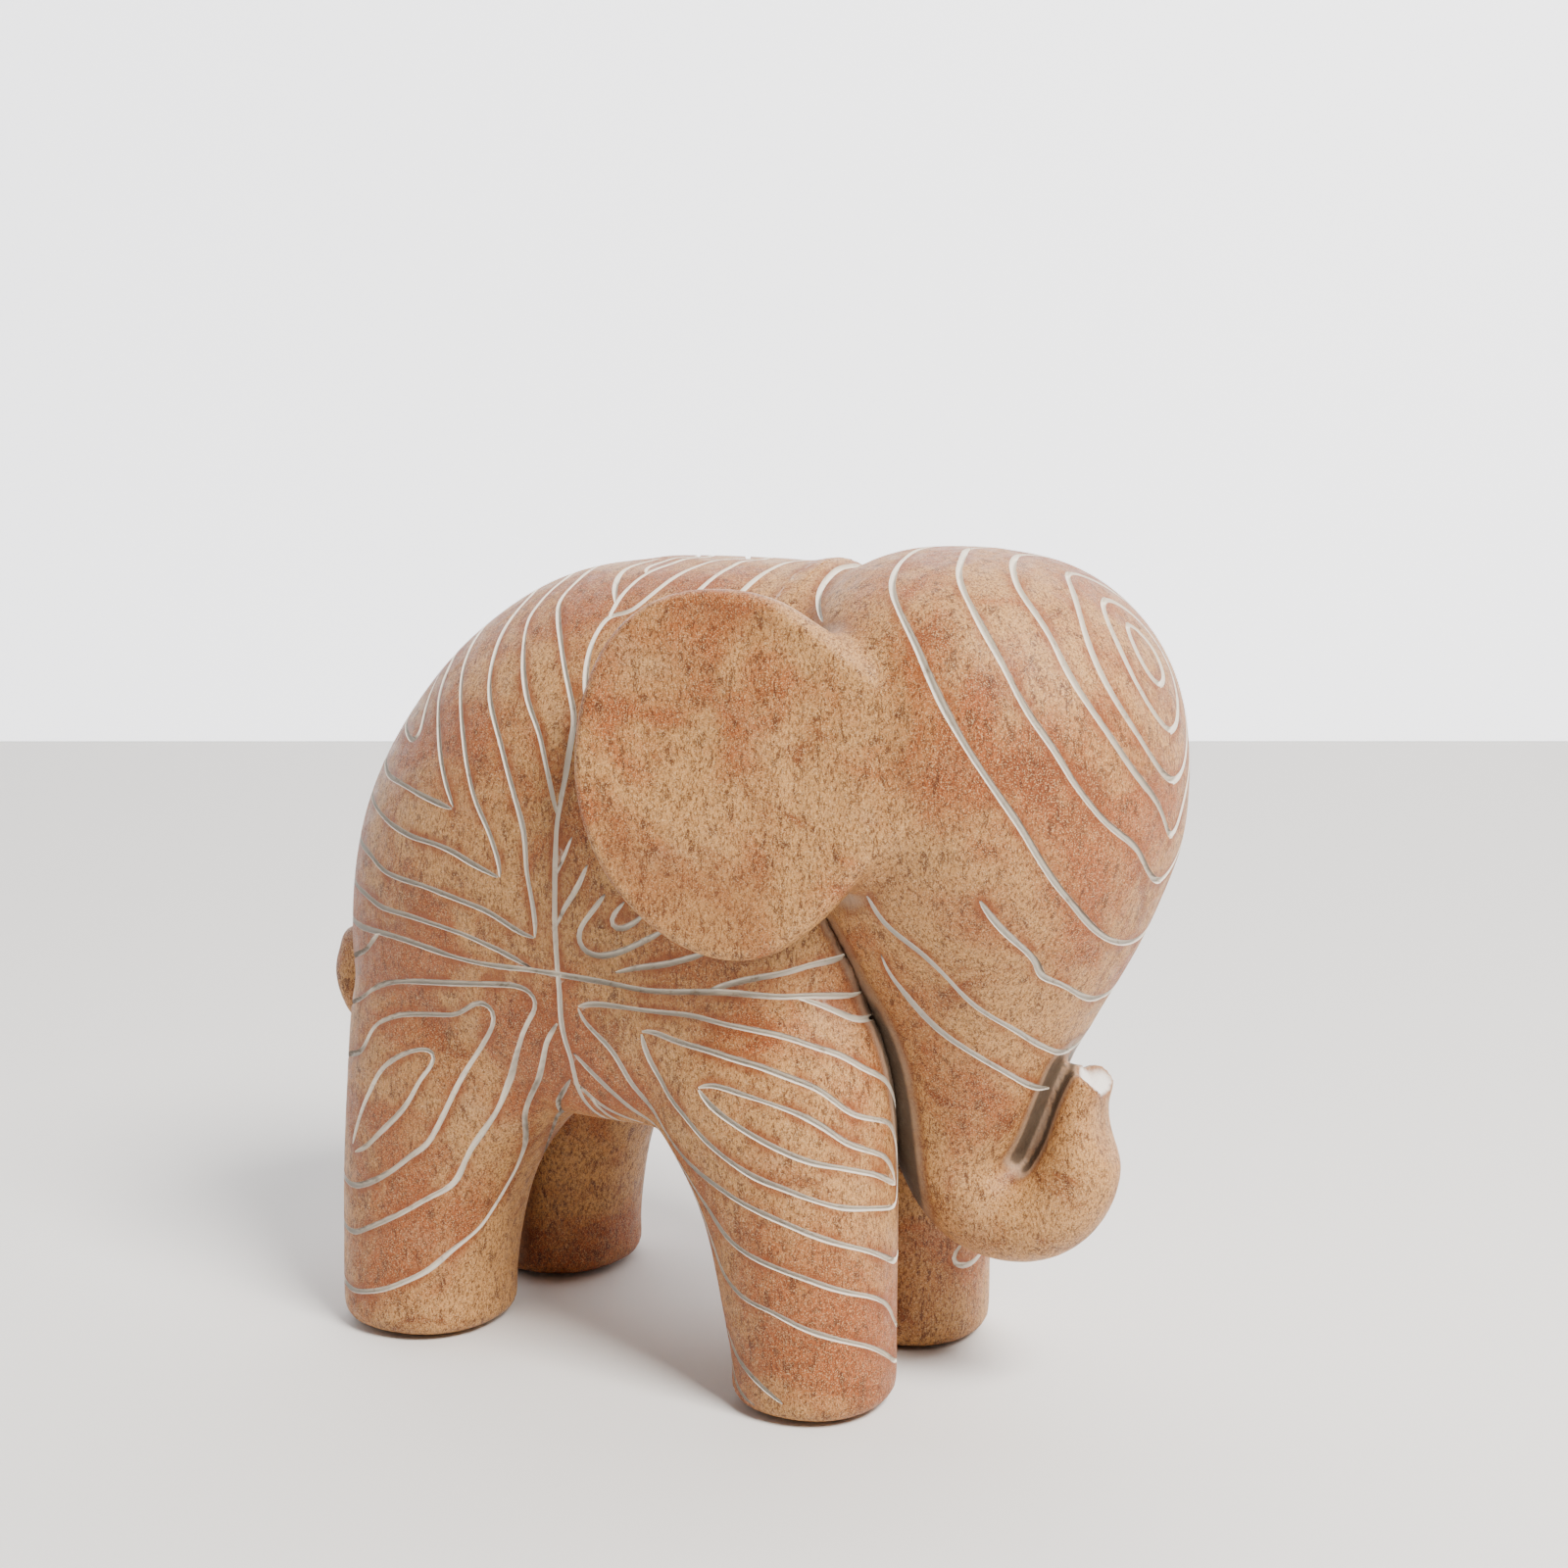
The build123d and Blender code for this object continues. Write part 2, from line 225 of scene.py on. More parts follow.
# The peg's end comes close to the tail's bend, so the bend is a little fuller there.
pegEnd = np.sqrt((xs - tail["pegX"]) ** 2 + ys ** 2 + (zs - tail["pegZ"]) ** 2) - tail["fullness"]
tailOnly = filled(distanceTo(*meshOf("tail")), tail["holeClosing"])
tailForm = blurred(joined(tailOnly, pegEnd, tail["rounding"]), tail["softening"])
around = np.minimum(bodyForm, headForm)
print("forms ready")

# Carved lines, all on the right half. Side points are (x, z), top ones (x, y), front and rear ones (y, z).
# Each view says where its points start, outside the figure, and the way they travel until they meet it.
views = {
    "side": lambda p, q, x: (np.stack([p, p * 0 - 74, q], 1), (0, 1, 0)),
    "top": lambda p, q, x: (np.stack([p, q, p * 0 + 208], 1), (0, 0, -1)),
    "front": lambda p, q, x: (np.stack([p * 0 + x, p, q], 1), (-1, 0, 0)),
    "rear": lambda p, q, x: (np.stack([p * 0 - 128, p, q], 1), (1, 0, 0)),
}
bodyLines = {
    "A": [("top", [(-29, -4), (-28, -10), (-27, -17), (-28, -24)]),
          ("side", [(-21, 174.5), (-14, 163.7), (-11, 158), (-11.5, 145), (-13, 135), (-13.3, 122.5),
                    (-13.6, 110.5), (-13.1, 99.5), (-12.7, 93.7), (-13, 89), (-12.2, 84), (-10.9, 79.5),
                    (-11, 74), (-11, 70), (-10, 66), (-8, 62)])],
    "B": [("top", [(-36, -3), (-33, -13)]),
          ("side", [(-35, 178.5), (-29.5, 168), (-25.8, 161.5), (-20, 154), (-15.3, 143), (-13, 136.5)])],
    "Ca": [("top", [(-45, -5), (-41, -16)]),
           ("side", [(-42, 175), (-39.6, 165), (-37.4, 160.5), (-30.6, 150.5), (-24.7, 139), (-21.8, 132),
                     (-21.2, 122.5), (-19.7, 116.5), (-18.7, 109), (-19.2, 107.6)])],
    "Cb": [("side", [(-19.4, 107.5), (-23, 108), (-28, 110.4), (-33, 112.5), (-40, 113.8), (-46.6, 115),
                     (-53.5, 116), (-60, 116.3), (-68, 117), (-75, 120)]),
           ("rear", [(-25, 122), (-12, 124), (0.4, 124.5)])],
    "Da": [("top", [(-58, -6), (-54, -18)]),
           ("side", [(-51.5, 166.5), (-48.5, 161), (-43.6, 152), (-37.6, 139), (-32, 131), (-28.6, 123.4),
                     (-28.8, 120.8)])],
    "Db": [("side", [(-29.3, 120.7), (-38, 123.3), (-43.3, 125.4), (-50.6, 126.5), (-57, 126.8), (-66, 128.5),
                     (-73, 130.5)]),
           ("rear", [(-22, 134), (-10, 136), (0.4, 136.5)])],
    "Ea": [("top", [(-67, -8), (-63, -18)]),
           ("side", [(-59.5, 167), (-57.5, 159.5), (-53, 152), (-48, 142.5), (-43.6, 135.6)])],
    "Eb": [("side", [(-44, 135), (-53.5, 136.6), (-64, 138.5), (-71.5, 139)]),
           ("rear", [(-20, 143), (-8, 145.5), (0.4, 146)])],
    "F": [("side", [(-64, 163), (-61.8, 155), (-60.3, 150.5), (-62.5, 147.8), (-67, 149)]),
          ("rear", [(-17, 152.5), (-7, 155)])],
    "G": [("side", [(-20.5, 100.3), (-29.6, 103.4), (-40, 106), (-48, 107), (-57.6, 108), (-69, 108.2),
                    (-76, 110)]),
          ("rear", [(-26, 111.5), (-12, 112.5), (0.4, 113)])],
    "H": [("rear", [(-8, 101.5), (-18, 102), (-28, 101.5)]),
          ("side", [(-77, 101.5), (-70, 102), (-65.8, 102.1), (-58.3, 101.8), (-50.6, 101), (-43, 100),
                    (-35.4, 99.5), (-28.4, 99.5), (-21.3, 99.8), (-13, 99.6), (-4.6, 99.4), (0.8, 99.2),
                    (7.7, 98.5), (15, 98.5), (21, 99.2), (29.6, 99.6), (35.8, 99.2), (40.9, 98.8),
                    (45.5, 99.2), (50, 98.8), (56, 98.7), (59.5, 100.4)])],
    "Hb": [("side", [(-69.5, 102), (-73, 99), (-76, 96)]), ("rear", [(-29, 91), (-20, 86), (-13, 84)])],
    "H2": [("side", [(25, 99.8), (30.7, 101.9), (35.9, 103.3), (40.9, 104.2), (45.4, 106), (50.4, 107.1),
                     (53.5, 107.9), (55.6, 108.7), (58, 110.4)])],
    "H3": [("side", [(43, 98.9), (47.5, 97.2), (49.8, 96.1), (52.9, 94.6), (55.3, 93), (57.4, 91.2)])],
    "outerA": [("rear", [(-21, 57), (-23, 69), (-31, 79)]),
               ("side", [(-77, 84), (-74.5, 86.5), (-67, 90), (-57.5, 92), (-45.5, 93.4), (-40, 94),
                         (-31.5, 95), (-26, 95.6), (-21, 95), (-19, 92.4), (-19.4, 90.5), (-22, 87.7),
                         (-25, 82), (-28.6, 74.3), (-34, 63.7), (-38.5, 57.5), (-42, 53.3), (-45, 48),
                         (-47, 43.7), (-49, 41.4), (-53.5, 39), (-59.7, 34.8), (-65.5, 31.5), (-69, 29.7),
                         (-77, 25.5)]),
               ("rear", [(-33, 26), (-25, 33), (-21, 45), (-21, 57)])],
    "middleA": [("rear", [(-29, 54), (-31, 62), (-36, 68)]),
                ("side", [(-75.5, 71), (-74, 73.6), (-71, 79), (-62, 83), (-52, 84.6), (-43.5, 85.6),
                          (-39.2, 88.4), (-36.4, 90.4), (-33.2, 90), (-31.5, 88.3), (-32, 85),
                          (-37.3, 78.3), (-41, 73), (-43.8, 68.3), (-48.2, 60), (-53, 52), (-57, 49.7),
                          (-62, 45.3), (-67, 42), (-71, 39.8), (-77, 37.5)]),
                ("rear", [(-35, 38), (-31, 44), (-29, 54)])],
    "innerA": [("side", [(-78, 48), (-77, 50.5), (-74, 57.7), (-70.3, 64), (-67.3, 69), (-63, 72.2),
                         (-56.7, 75.4), (-51.3, 76.4), (-49.3, 75.2), (-51.5, 71.3), (-54, 69.2),
                         (-57.6, 62.7), (-60, 59.7), (-67, 53.2), (-72.5, 48.2), (-76.5, 46.4)])],
    "hindA": [("side", [(-14, 87.7), (-17.5, 83), (-19, 78.3), (-21.5, 72.8), (-26.5, 67), (-30, 61)]),
              ("front", [(-36, 56.5), (-32.5, 51), (-30.5, 44), (-31.8, 37), (-35, 29.6), (-40.5, 24.5)], -6),
              ("side", [(-55.5, 19.5), (-66.4, 13.5), (-77, 10.5)]), ("rear", [(-30, 12), (-20, 17)])],
    "hindB": [("side", [(-12.5, 74), (-15, 71), (-19, 67), (-22, 62)]),
              ("front", [(-20.5, 47), (-12, 40), (-12, 33), (-11, 25)], -6)],
    "U1": [("side", [(-8.8, 132), (-12.8, 123)])],
    "U2": [("side", [(-4.6, 126), (-7.4, 120), (-11.3, 115), (-13, 111)])],
    "U3": [("side", [(0, 119.7), (-3.4, 115.3), (-7.3, 110.8), (-7.7, 108), (-5.8, 105.4), (-2.5, 104.9),
                     (1.3, 105.7), (5, 107.2), (14.5, 112.5)])],
    "U4": [("side", [(5, 118.4), (0.8, 114), (1, 112), (2.6, 111.3), (5.2, 112), (10, 116)])],
    "U5": [("side", [(2.4, 101.8), (7.7, 103.5), (15.5, 105), (19.8, 106.5), (25, 108.5)])],
    "V1a": [("side", [(-7.8, 92.6), (-4.7, 93.9), (2.7, 93.9), (12.7, 93.7), (21.2, 93.8), (28.5, 92.1),
                      (36.3, 91.3), (43, 90.4), (49, 88.3), (53.8, 86.7), (57, 83.5)]),
            ("front", [(-25, 79), (-21.5, 75), (-17, 68), (-15, 58)])],
    "V1b": [("side", [(-7.9, 92.2), (-7.3, 89.7), (-4.6, 87.5), (0, 84), (2.3, 80), (3.9, 75.8), (7, 71),
                      (10.3, 66.3), (14, 61.8), (20.6, 57.9), (27.8, 55.2), (34, 52.6), (39.6, 50.9),
                      (45.5, 49), (50, 47)]),
            ("front", [(-39.8, 44.6), (-33, 41.5), (-25, 37.2), (-20.5, 34.6), (-16, 36), (-14.5, 45),
                       (-15, 58)])],
    "V2a": [("side", [(8.6, 88.6), (10.6, 89.5), (13.2, 88.4), (18.3, 86.7), (24.2, 86.2), (31.6, 84.9),
                      (37.5, 84), (44.2, 81.9), (50.3, 79.7), (53.6, 76.9), (56.5, 73.4)]),
            ("front", [(-24, 69), (-20.5, 64), (-18.5, 57)])],
    "V2b": [("side", [(8.5, 88), (8.8, 85.1), (10.8, 79.8), (14.6, 74), (19.5, 70.2), (25, 65.4),
                      (30.7, 62.3), (37.7, 58.9), (44.4, 57.1), (50.5, 54.8)]),
            ("front", [(-39, 52.6), (-30, 50.7), (-24, 49), (-20, 48.2), (-18.5, 57)])],
    "V3a": [("side", [(23.3, 77.4), (25.2, 78.8), (29.3, 78.4), (35.3, 77.2), (41.3, 75.9), (47.8, 73.8),
                      (52.6, 70.7), (55.7, 67.2)]),
            ("front", [(-27, 62), (-22.5, 57), (-21.3, 54)])],
    "V3b": [("side", [(23.4, 77), (25.5, 74.4), (30.6, 71.5), (37, 68.5), (43.3, 65.8), (49.6, 63.2)]),
            ("front", [(-38, 61.5), (-30, 58.5), (-25, 55.5), (-21.2, 53.6)])],
    "J": [("side", [(-10.2, 81), (-5.5, 76.4), (-0.9, 71.6), (3.5, 66.5), (8.5, 62), (14, 57.5), (20, 52),
                    (25, 47.9), (29, 43.6), (35, 40.6), (44.4, 38.1), (50, 36.3)]),
          ("front", [(-40, 33.8), (-31, 30), (-25, 26.3), (-20.3, 20), (-15, 17)])],
    "K": [("side", [(17, 52), (22, 43), (27, 33.5), (34.5, 29.2), (41.6, 28), (49.8, 24.2)]),
          ("front", [(-39.5, 22), (-32.5, 18.8), (-27, 15.5), (-20, 10.5), (-15, 9)])],
    "X1": [("side", [(-10.6, 73), (-7, 68.5), (-3, 65.5), (2, 63.5)])],
    "X2": [("side", [(-8.4, 69.5), (-6.5, 65), (-4.5, 61.8)])],
    "U6": [("front", [(-17.7, 27.3), (-14.8, 25.3), (-14.6, 22.6), (-18.7, 20.9), (-23, 21.6),
                      (-27.4, 23.5)])],
    "M": [("side", [(26.5, 19), (29.5, 14.5), (36, 10.6), (44, 6.2)])],
    "N": [("side", [(26, 13), (28, 8.5), (31, 5.5), (36, 3.6)])],
    "T1": [("top", [(10, 0.5), (3.2, -10.5), (0.5, -19), (-1.5, -24), (-5, -29)]),
           ("side", [(-10.5, 181), (-12, 175.5), (-11.7, 171), (-10.5, 166), (-8, 160)])],
    "T2": [("top", [(-1, 1), (-5, -10), (-8, -17), (-10, -25), (-10, -30)])],
    "T2b": [("top", [(-12, -5), (-14.5, -8.5), (-16, -12), (-15.5, -17), (-13.7, -21.5), (-10.4, -26.5)])],
    "T2c": [("top", [(-4, 1), (-7, -5), (-10, -11), (-10.5, -14), (-8.2, -16.8)])],
    "T3": [("top", [(14, 1), (12, -7), (11.5, -13), (10, -21), (8, -28)])],
    "T4": [("top", [(24, 1), (22.3, -6), (21.5, -12), (20.3, -19.5), (18, -27)])],
}
headLines = {
    "L1a": [("top", [(57, 0.6), (57.5, -10), (59, -20), (62, -29)]),
            ("side", [(68.3, 184), (71.2, 181.4), (73.8, 178.2), (78.2, 171.7), (82, 165.7), (86.1, 159.4),
                      (90.1, 153.4), (94.3, 146.8), (98, 140.5), (99.5, 135.9), (101.5, 132.4)]),
            ("front", [(-31, 129.3), (-27.5, 125.9), (-22, 120.3), (-18.2, 117.2), (-13.7, 114.7),
                       (-9, 112.8), (-4.7, 112), (0.6, 111.6)])],
    "L2": [("top", [(66.5, 0.6), (69.3, -7), (71.7, -14), (74.7, -22.5), (79, -28)]),
           ("side", [(85.9, 182.3), (88.7, 179.1), (92.7, 173.2), (96.2, 167.3), (100.4, 161.3),
                     (102.6, 158.1)]),
           ("front", [(-30.7, 152.1), (-28.7, 148.7), (-24.8, 143.2), (-20.4, 139.2), (-17.1, 137.6),
                      (-14.3, 135.7), (-9.8, 130.3), (-5, 127), (0.6, 125)])],
    "L3": [("top", [(78.5, 0.6), (79.5, -3), (82.5, -12), (85.3, -16.5), (87.9, -20.7)]),
           ("front", [(-25.2, 179), (-26.3, 176.3), (-26.3, 170.8), (-24.3, 165), (-21.5, 159.4),
                      (-17.2, 152.5), (-13.5, 149), (-9.9, 146.1), (-6.1, 142.5), (-3.4, 138),
                      (-1.6, 135.4), (0.4, 134.6)])],
    "L4": [("top", [(89.5, 0.6), (90.3, -2.6), (93.5, -5.7), (98.7, -13.3)]),
           ("front", [(-16.4, 182.5), (-19.4, 177.2), (-20, 172.5), (-19.3, 167.8), (-15.7, 161.6),
                      (-10.8, 154.3), (-6.9, 150.6), (-3.4, 147.9), (0.4, 146.8)])],
    "L5": [("top", [(98, 0.4), (99.5, -2.6)]),
           ("front", [(-6.7, 184.5), (-9.3, 181), (-10.8, 176), (-11.4, 171), (-10.5, 167.7), (-8.6, 165),
                      (-5.5, 161.4), (-2.6, 158.4), (0.4, 157.2)])],
    "L6": [("front", [(0.2, 183.5), (-2.6, 181), (-5, 176.5), (-5.6, 173.5), (-4.6, 170.5), (-2.4, 168.4),
                      (0.3, 167.4)])],
    "L7": [("side", [(88.3, 125.6), (90, 121.6), (92.1, 118), (95, 113.9), (96.8, 109.9)]),
           ("front", [(-24.4, 107.4), (-20, 105.4), (-15.5, 103), (-11.1, 100.6), (-6.7, 98.9),
                      (-3.3, 98.4), (0.5, 98.5)])],
    "L8": [("side", [(62.5, 124.5), (64.8, 119.2), (68.4, 116), (72.9, 112.7), (77.5, 107.1),
                     (80.4, 102.3), (83.1, 98.9), (88.2, 94.5), (90, 92.5)]),
           ("front", [(-15.8, 89.9), (-11.4, 87.7), (-6.8, 85.6), (-3, 84.9), (0.5, 84.9)], 97)],
    "L9": [("side", [(62.7, 110.3), (63.2, 105.7), (66.3, 101.4), (69.5, 96.9), (74.3, 91.8),
                     (78.9, 88.4), (83.5, 84.5), (85.9, 82.2)]),
           ("front", [(-13.8, 80), (-9.4, 77.7), (-5.2, 76.3), (-2.5, 76)], 89)],
    "T5": [("top", [(31.5, 0.6), (30.5, -6), (30, -12.5), (29.3, -18), (28, -26)])],
    "T6": [("top", [(37, 0.6), (36.3, -5), (36.8, -12), (38, -17.5), (41, -23), (46, -30)])],
}


def onSurface(field, start, way):
    # The first place inside the form on each straight track, or the nearest miss.
    way = np.array(way, float)
    reachOut = np.arange(0, 150, 0.5)
    track = start[:, None, :] + reachOut[None, :, None] * way
    values = sample(field, track.reshape(-1, 3)).reshape(len(start), -1)
    inside = values < 0
    first = np.where(inside.any(1), inside.argmax(1), values.argmin(1))
    return track[np.arange(len(start)), first]


def settled(field, points):
    # Each point steps down the slope by its own distance until it lies on the surface.
    for _ in range(4):
        points = points - sample(field, points)[:, None] * slope(field, points)
    return points


def spaced(points, step):
    # The same path with its points at even steps along it.
    gaps = np.linalg.norm(np.diff(points, axis=0), axis=1)
    along = np.concatenate([[0], np.cumsum(gaps)])
    places = np.linspace(0, along[-1], max(4, int(round(along[-1] / step)) + 1))
    return np.stack([np.interp(places, along, points[:, a]) for a in range(3)], 1)


gouge = {
    "spacing": 1.4, "depth": 1.1, "widthDrift": 0.3, "depthDrift": 0.35, "taper": 4.5, "tipShare": 0.3,
    "middle": 2.4,  # an end this near the middle plane meets its mirror image and isn't tapered
    "clearance": 4.2, "lift": 1.5, "flare": 1.3,
    # A few strokes are on one side only, and two stop at the left foreleg's corner.
    "oneSide": {"hindB": 1, "X1": 1, "X2": 1, "U6": -1}, "cornerStops": ("J", "K"),
    # Lines that close across the forehead, with the passes that ease each one.
    "loops": {"L1a": 8, "L2": 8, "L3": 10, "L4": 24, "L5": 22, "L6": 14},
}


def eased(points):
    return 0.25 * points[:-2] + 0.5 * points[1:-1] + 0.25 * points[2:]


def lineOn(field, runs, sign, loop=0):
    # A stroke's listed points are laid on the form, spaced, eased and settled back on it.
    parts = []
    for run in runs:
        kind, hand = run[0], np.array(run[1], float)
        frontX = run[2] if len(run) > 2 else (128 if field is headForm else 68)
        start, way = views[kind](hand[:, 0], hand[:, 1], frontX)
        flip = np.array([1, sign, 1])
        parts.append(onSurface(field, start * flip, np.array(way) * flip))
    points = spaced(settled(field, np.concatenate(parts)), gouge["spacing"])
    if loop:
        # Both ends lie on the middle plane, so the line and its mirror image are eased as one closed loop.
        points[[0, -1], 1] = 0
        ring = np.concatenate([points, (points * (1, -1, 1))[-2:0:-1]])
        for _ in range(loop):
            ring = eased(np.concatenate([ring[-1:], ring, ring[:1]]))
        points = np.concatenate([ring[-1:], ring[:len(points) + 1]])
    for _ in range(5):
        points[1:-1] = eased(points)
    return spaced(settled(field, points), gouge["spacing"])


def cutterAlong(field, points, seed, broad):
    # The gouge's path: a round-bottomed channel whose width and depth drift a little as the hand moves.
    n = len(points)
    along = np.gradient(points, axis=0)
    along /= np.linalg.norm(along, axis=1, keepdims=True)
    out = slope(field, points, 1.2)
    out -= (out * along).sum(1, keepdims=True) * along
    out /= np.linalg.norm(out, axis=1, keepdims=True)
    across = np.cross(along, out)
    drift = np.random.default_rng(seed).normal(size=n)
    for _ in range(12):
        drift = np.convolve(np.pad(drift, 1, "edge"), [0.25, 0.5, 0.25], "valid")
    wide = broad * (1 + gouge["widthDrift"] * drift)
    deep = gouge["depth"] * (1 + gouge["depthDrift"] * drift)
    fromStart = np.arange(n) * gouge["spacing"]
    taper = np.ones(n)
    for end, gone in ((0, fromStart), (-1, fromStart[::-1])):
        if abs(points[end, 1]) > gouge["middle"]:
            taper = np.minimum(taper, np.clip(gone / gouge["taper"], 0, 1))
    taper = gouge["tipShare"] + (1 - gouge["tipShare"]) * np.sqrt(taper)
    angle = np.linspace(0, math.pi, 7)
    b = np.concatenate([-np.cos(angle), [gouge["flare"], -gouge["flare"]]])
    d = np.concatenate([-np.sin(angle), [0, 0]])
    lift = np.concatenate([np.zeros(7), [gouge["lift"], gouge["lift"]]])
    ring = (across[:, None, :] * (b[None, :] * (wide * taper)[:, None])[:, :, None]
            + out[:, None, :] * (d[None, :] * (deep * taper)[:, None] + lift[None, :])[:, :, None])
    verts = (points[:, None, :] + ring).reshape(-1, 3)
    m = len(b)
    i, j = np.meshgrid(np.arange(n - 1), np.arange(m), indexing="ij")
    k = (j + 1) % m
    quads = np.stack([i * m + j, i * m + k, (i + 1) * m + k, (i + 1) * m + j], 2).reshape(-1, 4)
    fan = np.stack([np.zeros(m - 2, int), np.arange(2, m), np.arange(1, m - 1)], 1)
    caps = np.concatenate([fan, fan[:, ::-1] + (n - 1) * m])
    return verts, quads[:, ::-1], caps[:, ::-1]


def grouped(lines):
    # Cutters that touch go into different groups, as a cutter that crosses another leaves a flap of wall.
    groups = []
    for points in lines:
        for group in groups:
            near = min(np.linalg.norm(p[:, None] - points[None], axis=2).min() for p in group)
            if near > gouge["clearance"]:
                group.append(points)
                break
        else:
            groups.append([points])
    return groups


def objectFrom(name, verts, faceSets, finishIndex=0):
    mesh = bpy.data.meshes.new(name)
    loops = np.concatenate([f.reshape(-1) for f in faceSets]).astype(np.int32)
    sizes = np.concatenate([np.full(len(f), f.shape[1]) for f in faceSets]).astype(np.int32)
    mesh.vertices.add(len(verts))
    mesh.vertices.foreach_set("co", (np.asarray(verts, np.float32) / 1000).reshape(-1))
    mesh.loops.add(len(loops))
    mesh.loops.foreach_set("vertex_index", loops)
    mesh.polygons.add(len(sizes))
    mesh.polygons.foreach_set("loop_start", np.concatenate([[0], np.cumsum(sizes)[:-1]]).astype(np.int32))
    mesh.update(calc_edges=True)
    mesh.validate()
    item = bpy.data.objects.new(name, mesh)
    collection.objects.link(item)
    for finish in (wood, paint):
        mesh.materials.append(finish)
    mesh.polygons.foreach_set("material_index", np.full(len(mesh.polygons), finishIndex, np.int32))
    return item


def cut(item, tool, how="DIFFERENCE"):
    change = item.modifiers.new("cut", "BOOLEAN")
    change.operation = how
    change.solver = "MANIFOLD"
    change.object = tool
    graph = bpy.context.evaluated_depsgraph_get()
    result = bpy.data.meshes.new_from_object(item.evaluated_get(graph))
    item.modifiers.clear()
    old = item.data
    item.data = result
    result.name = item.name
    bpy.data.meshes.remove(old)
    bpy.data.objects.remove(tool)


def dropOffcuts(item):
    # Labels spread along the edges until every connected part has one label, and the largest part stays.
    mesh = item.data
    ends = np.empty(len(mesh.edges) * 2, np.int32)
    mesh.edges.foreach_get("vertices", ends)
    ends = ends.reshape(-1, 2)
    label, before = np.arange(len(mesh.vertices)), None
    while before is None or (label != before).any():
        before = label.copy()
        least = label[ends].min(1)
        np.minimum.at(label, ends[:, 0], least)
        np.minimum.at(label, ends[:, 1], least)
        label = label[label]
    stray = np.flatnonzero(label != np.bincount(label).argmax())
    if len(stray):
        work = bmesh.new()
        work.from_mesh(mesh)
        work.verts.ensure_lookup_table()
        bmesh.ops.delete(work, geom=[work.verts[int(v)] for v in stray], context="VERTS")
        work.to_mesh(mesh)
        work.free()


def blockTool(corner, far):
    x0, y0, z0 = corner
    x1, y1, z1 = far
    verts = [(x, y, z) for x in (x0, x1) for y in (y0, y1) for z in (z0, z1)]
    faces = np.array([(0, 1, 3, 2), (4, 6, 7, 5), (0, 4, 5, 1), (2, 3, 7, 6), (0, 2, 6, 4), (1, 5, 7, 3)])
    return objectFrom("tool", verts, [faces])


def earTool(sign):
    # A thin block round one ear's flap, behind the sawn face across its root.
    origin, back, up = (np.array(ear[key]) * (1, sign, 1) for key in ("root", "alongRoot", "upRoot"))
    back, up = back / np.linalg.norm(back), up / np.linalg.norm(up)
    outward = np.cross(back, up) * -sign
    outward /= np.linalg.norm(outward)
    up = np.cross(outward, back)
    up *= np.sign(up[2])
    tool = blockTool((ear["sawnAt"], -90, ear["blockInner"]), (160, 90, ear["blockOuter"]))
    here = np.empty(24, np.float32)
    tool.data.vertices.foreach_get("co", here)
    here = here.reshape(-1, 3) * 1000
    placed = origin + here[:, :1] * back + here[:, 1:2] * up + here[:, 2:] * outward
    tool.data.vertices.foreach_set("co", (placed / 1000).astype(np.float32).reshape(-1))
    if np.dot(np.cross(back, up), outward) < 0:
        tool.data.flip_normals()
    tool.data.update()
    return tool


def material(name):
    made = bpy.data.materials.new(name)
    made.use_nodes = True
    tree = made.node_tree
    tree.nodes.clear()
    out = tree.nodes.new("ShaderNodeOutputMaterial")
    shader = tree.nodes.new("ShaderNodeBsdfPrincipled")
    tree.links.new(shader.outputs[0], out.inputs[0])
    return made, tree, shader


class Net:
    def __init__(self, tree):
        self.tree = tree
        self.place = tree.nodes.new("ShaderNodeTexCoord").outputs["Object"]

    def put(self, socket, value):
        if isinstance(value, bpy.types.NodeSocket):
            self.tree.links.new(value, socket)
        else:
            socket.default_value = value

    def noise(self, scale, detail=3, rough=0.55, stretch=(1, 1, 1), turn=(0, 0, 0), distort=0.0):
        mapping = self.tree.nodes.new("ShaderNodeMapping")
        mapping.inputs["Scale"].default_value = stretch
        mapping.inputs["Rotation"].default_value = turn
        self.tree.links.new(self.place, mapping.inputs[0])
        node = self.tree.nodes.new("ShaderNodeTexNoise")
        self.tree.links.new(mapping.outputs[0], node.inputs["Vector"])
        node.inputs["Scale"].default_value = scale
        node.inputs["Detail"].default_value = detail
        node.inputs["Roughness"].default_value = rough
        node.inputs["Distortion"].default_value = distort
        return node.outputs[0]

    def between(self, value, a, b, low=0.0, high=1.0):
        node = self.tree.nodes.new("ShaderNodeMapRange")
        node.interpolation_type = "SMOOTHSTEP"
        for socket, number in zip(node.inputs, (value, a, b, low, high)):
            self.put(socket, number)
        return node.outputs[0]

    def maths(self, how, a, b):
        node = self.tree.nodes.new("ShaderNodeMath")
        node.operation = how
        self.put(node.inputs[0], a)
        self.put(node.inputs[1], b)
        return node.outputs[0]

    def mix(self, amount, a, b, how="MIX"):
        node = self.tree.nodes.new("ShaderNodeMix")
        node.data_type = "RGBA"
        node.blend_type = how
        self.put(node.inputs[0], amount)
        self.put(node.inputs[6], a)
        self.put(node.inputs[7], b)
        return node.outputs[2]

    def attribute(self, name):
        node = self.tree.nodes.new("ShaderNodeAttribute")
        node.attribute_name = name
        return node.outputs["Fac"]

    def bump(self, height, distance, strength=1.0, under=None):
        node = self.tree.nodes.new("ShaderNodeBump")
        node.inputs["Distance"].default_value = distance
        node.inputs["Strength"].default_value = strength
        self.tree.links.new(height, node.inputs["Height"])
        if under is not None:
            self.tree.links.new(under, node.inputs["Normal"])
        return node.outputs[0]


